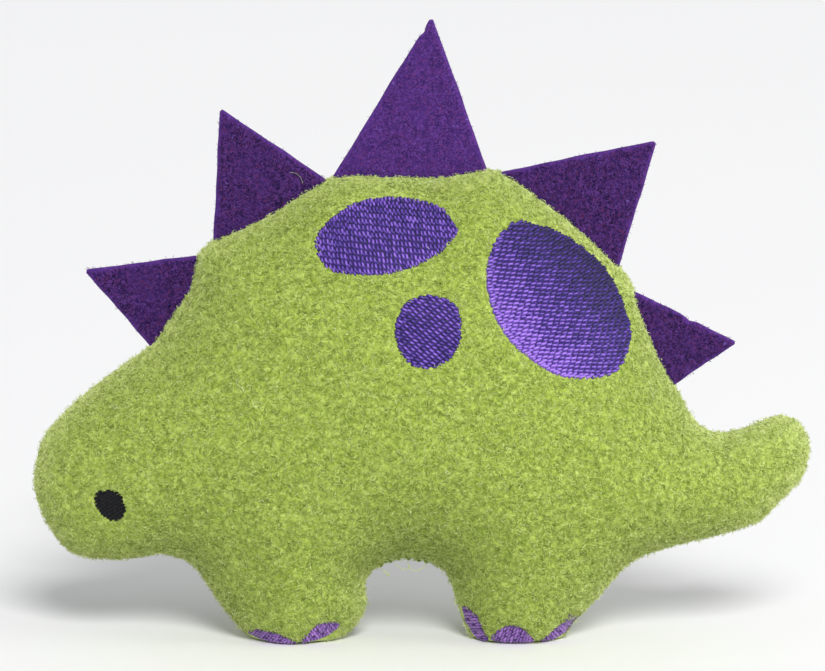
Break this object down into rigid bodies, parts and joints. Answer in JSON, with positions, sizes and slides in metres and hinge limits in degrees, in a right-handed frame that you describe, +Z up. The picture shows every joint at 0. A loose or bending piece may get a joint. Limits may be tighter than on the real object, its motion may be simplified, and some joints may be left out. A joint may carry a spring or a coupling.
{
  "type": "stuffed dinosaur",
  "caption": "Small stuffed plated dinosaur in brushed fleece, standing side-on, with felt spikes in the back seam and embroidered spots, eye and claws.",
  "frame": {"origin": "centre of the toy's outer box in plan, at the height of the soles", "axes": "+Z up; the embroidered front panel faces -Y; the head is at -X and the tail at +X"},
  "size_m": [0.0914, 0.0283, 0.0741],
  "materials": {
    "green_fleece": "brushed fleece, soft and matt",
    "purple_felt": "craft felt, matt, cut edges",
    "violet_thread": "embroidery thread, satin sheen",
    "black_thread": "embroidery thread, low sheen",
    "green_thread": "sewing thread, low sheen",
    "fibre_fill": "loose polyester fibre",
    "stabilizer": "pressed non-woven sheet"
  },
  "bodies": {
    "toy": {"front_panel": "green_fleece", "back_panel": "green_fleece", "fibre_fill": "fibre_fill", "seam_stitches": "green_thread", "closing_stitches": "green_thread", "upper_spot": "violet_thread", "small_spot": "violet_thread", "large_spot": "violet_thread", "eye": "black_thread", "front_claw_1": "violet_thread", "front_claw_2": "violet_thread", "rear_claw_1": "violet_thread", "rear_claw_2": "violet_thread", "rear_claw_3": "violet_thread", "upper_spot_backing": "stabilizer", "small_spot_backing": "stabilizer", "large_spot_backing": "stabilizer", "eye_backing": "stabilizer", "front_foot_backing": "stabilizer", "rear_foot_backing": "stabilizer", "neck_spike_tab": "purple_felt", "shoulder_spike_tab": "purple_felt", "back_spike_tab": "purple_felt", "hip_spike_tab": "purple_felt", "tail_spike_tab": "purple_felt"},
    "neck_spike": {"neck_spike": "purple_felt"},
    "shoulder_spike": {"shoulder_spike": "purple_felt"},
    "back_spike": {"back_spike": "purple_felt"},
    "hip_spike": {"hip_spike": "purple_felt"},
    "tail_spike": {"tail_spike": "purple_felt"}
  },
  "joints": [
    {"name": "neck_spike_bend", "type": "hinge", "parent": "toy", "child": "neck_spike", "pos_m": [-0.02986, 0, 0.0413], "axis": [0.5049, 0, 0.8632], "range_deg": [-40, 40], "stiffness_Nm_per_rad": 0.00015},
    {"name": "shoulder_spike_bend", "type": "hinge", "parent": "toy", "child": "shoulder_spike", "pos_m": [-0.01804, 0, 0.05245], "axis": [0.8971, 0, 0.4419], "range_deg": [-40, 40], "stiffness_Nm_per_rad": 0.00015},
    {"name": "back_spike_bend", "type": "hinge", "parent": "toy", "child": "back_spike", "pos_m": [-0.00128, 0, 0.05665], "axis": [0.9996, 0, 0.0273], "range_deg": [-40, 40], "stiffness_Nm_per_rad": 0.00015},
    {"name": "hip_spike_bend", "type": "hinge", "parent": "toy", "child": "hip_spike", "pos_m": [0.0175, 0, 0.05141], "axis": [0.7629, 0, -0.6465], "range_deg": [-40, 40], "stiffness_Nm_per_rad": 0.00015},
    {"name": "tail_spike_bend", "type": "hinge", "parent": "toy", "child": "tail_spike", "pos_m": [0.02846, 0, 0.03665], "axis": [0.4038, 0, -0.9148], "range_deg": [-40, 40], "stiffness_Nm_per_rad": 0.00015}
  ]
}
